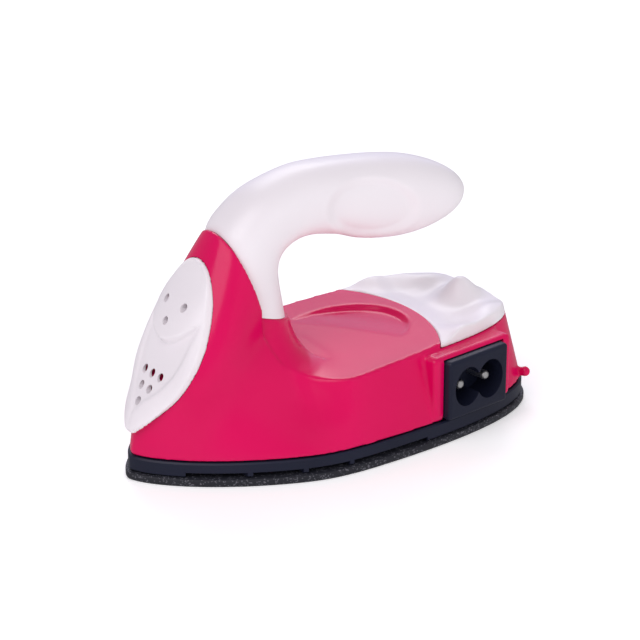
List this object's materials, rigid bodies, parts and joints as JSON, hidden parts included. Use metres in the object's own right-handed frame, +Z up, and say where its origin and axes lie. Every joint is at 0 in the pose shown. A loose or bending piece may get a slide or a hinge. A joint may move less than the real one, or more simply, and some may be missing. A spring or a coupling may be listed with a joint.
{
  "type": "travel iron",
  "caption": "Small corded travel iron: pointed sole plate, moulded body rising to a horn that alone carries an open-ended handle, vented front plate, rear tray and side power inlet.",
  "frame": {"origin": "on the sole plate's underside, halfway between nose and heel on the plate's middle line", "axes": "+Z up out of the flat sole, -X toward the pointed nose, -Y toward the side with the power inlet"},
  "size_m": [0.109, 0.0559, 0.0685],
  "materials": {
    "pink_plastic": "smooth gloss",
    "white_plastic": "semi-gloss",
    "black_plastic": "satin",
    "coated_sole": "dark non-stick coat",
    "nickelled_brass": "nickelled",
    "plated_steel": "zinc plated",
    "ceramic": null,
    "mica": null,
    "lead_sleeving": "woven glass-fibre sleeve"
  },
  "bodies": {
    "root": {"body_screw_left": "plated_steel", "body_screw_right": "plated_steel", "body_shell": "pink_plastic", "front_plate": "white_plastic", "fuse_sleeve": "lead_sleeving", "fuse_strap": "plated_steel", "fuse_strap_screw": "plated_steel", "handle_face_screw": "plated_steel", "handle_left": "white_plastic", "handle_right": "white_plastic", "handle_root_screw": "plated_steel", "handle_screw_1": "plated_steel", "handle_screw_2": "plated_steel", "handle_screw_3": "plated_steel", "heat_shield": "plated_steel", "heater_block": "ceramic", "heater_clamp": "plated_steel", "heater_clamp_screw_front": "plated_steel", "heater_clamp_screw_rear": "plated_steel", "heater_insulating_sheet": "mica", "inlet_housing": "black_plastic", "inlet_pin_front": "nickelled_brass", "inlet_pin_rear": "nickelled_brass", "inlet_terminal_front": "nickelled_brass", "inlet_terminal_rear": "nickelled_brass", "lead_heater": "lead_sleeving", "lead_link": "lead_sleeving", "lead_live": "lead_sleeving", "lead_neutral": "lead_sleeving", "rear_tray": "white_plastic", "shield_screw_1": "plated_steel", "shield_screw_2": "plated_steel", "shield_screw_3": "plated_steel", "shield_screw_4": "plated_steel", "skirt": "black_plastic", "sole_plate": "coated_sole", "sole_screw_front": "plated_steel", "sole_screw_left": "plated_steel", "sole_screw_right": "plated_steel", "thermal_fuse": "nickelled_brass", "thermostat": "nickelled_brass", "thermostat_screw": "plated_steel"}
  },
  "joints": []
}
